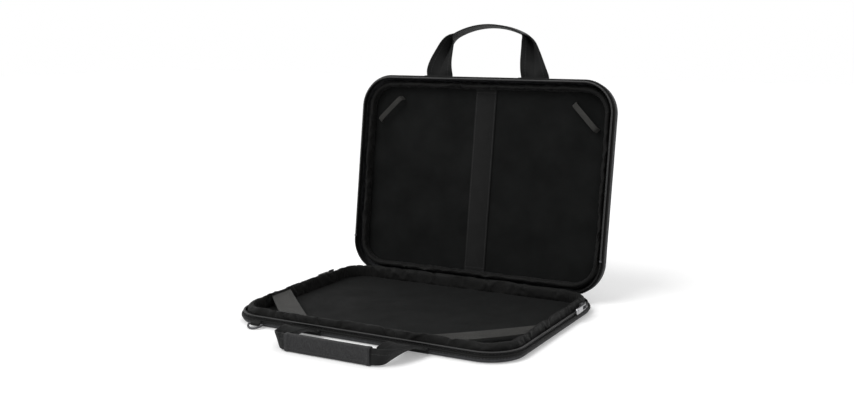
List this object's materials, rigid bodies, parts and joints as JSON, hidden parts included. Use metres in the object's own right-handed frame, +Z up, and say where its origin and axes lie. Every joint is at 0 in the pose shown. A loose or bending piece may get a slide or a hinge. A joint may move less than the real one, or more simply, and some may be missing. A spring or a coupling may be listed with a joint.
{
  "type": "laptop hard case",
  "caption": "Zipped hard case for a portable computer, open: padded tray base, hinged lid with outer pockets, two carry handles and strap rings.",
  "frame": {"origin": "middle of the base's flat underside, on the table", "axes": "+X to the right, -Y towards the user and the handle side, +Y towards the hinge, +Z up"},
  "size_m": [0.3652, 0.3993, 0.3464],
  "materials": {
    "shell_fabric": "dark grey heather polyester over moulded foam",
    "pocket_fabric": "dark grey heather polyester",
    "board": "plain stiffening board",
    "lining": "black jersey over foam",
    "tape": "black zip tape",
    "zip_coil": "black nylon coil",
    "dark_metal": "gunmetal",
    "bright_metal": "satin nickel",
    "elastic": "dark grey elastic",
    "webbing": "black ribbed webbing",
    "sleeve_fabric": "grey textured sleeve",
    "stud_metal": "plain satin stud"
  },
  "bodies": {
    "base": {"base_shell": "shell_fabric", "base_board": "board", "base_liner": "lining", "base_roll": "lining", "base_zip_tape": "tape", "base_zip_coil": "zip_coil", "base_zip_stops": "dark_metal", "base_gusset": "tape", "base_corner_strap_left": "elastic", "base_corner_strap_right": "elastic", "base_handle_patches": "webbing", "base_ring_tab": "webbing"},
    "lid": {"lid_shell": "shell_fabric", "lid_board": "board", "lid_liner": "lining", "lid_roll": "lining", "lid_zip_tape": "tape", "lid_zip_coil": "zip_coil", "lid_zip_stops": "dark_metal", "lid_gusset": "tape", "lid_center_strap": "webbing", "lid_corner_loop_left": "elastic", "lid_corner_loop_right": "elastic", "lid_piping": "webbing", "middle_pocket": "pocket_fabric", "lower_pocket": "pocket_fabric", "face_stud": "stud_metal", "lid_handle_patches": "webbing", "lid_ring_tab": "webbing"},
    "base_handle": {"base_handle_webbing": "webbing", "base_handle_sleeve": "sleeve_fabric"},
    "lid_handle": {"lid_handle_webbing": "webbing"},
    "base_ring": {"base_strap_ring": "dark_metal"},
    "lid_ring": {"lid_strap_ring": "dark_metal"},
    "slider_left": {"slider_left": "dark_metal"},
    "slider_right": {"slider_right": "dark_metal"},
    "pull_left": {"pull_left": "bright_metal"},
    "pull_right": {"pull_right": "bright_metal"}
  },
  "joints": [
    {"name": "lid_hinge", "type": "hinge", "parent": "base", "child": "lid", "pos_m": [0, 0.1302, 0.0136], "axis": [-1, 0, 0], "range_deg": [-98.3, 18]},
    {"name": "base_handle_hinge", "type": "hinge", "parent": "base", "child": "base_handle", "pos_m": [0, -0.1355, 0.0073], "axis": [-1, 0, 0], "range_deg": [0, 85]},
    {"name": "lid_handle_hinge", "type": "hinge", "parent": "lid", "child": "lid_handle", "pos_m": [0, 0.18182, 0.27458], "axis": [-1, 0, 0], "range_deg": [0, 90]},
    {"name": "base_ring_hinge", "type": "hinge", "parent": "base", "child": "base_ring", "pos_m": [-0.136, -0.1359, 0.0042], "axis": [-1, 0, 0], "range_deg": [0, 100]},
    {"name": "lid_ring_hinge", "type": "hinge", "parent": "lid", "child": "lid_ring", "pos_m": [0.136, 0.1931, 0.26608], "axis": [1, 0, 0], "range_deg": [-4, 160]},
    {"name": "slider_left_slide", "type": "slide", "parent": "base", "child": "slider_left", "axis": [0, 1, 0], "range_m": [-0.164, 0]},
    {"name": "slider_right_slide", "type": "slide", "parent": "base", "child": "slider_right", "axis": [0, 1, 0], "range_m": [-0.164, 0]},
    {"name": "pull_left_hinge", "type": "hinge", "parent": "slider_left", "child": "pull_left", "pos_m": [-0.18075, 0.08, 0.0136], "axis": [0, 0, -1], "range_deg": [0, 175]},
    {"name": "pull_right_hinge", "type": "hinge", "parent": "slider_right", "child": "pull_right", "pos_m": [0.18075, 0.08, 0.0136], "axis": [0, 0, 1], "range_deg": [0, 175]}
  ]
}
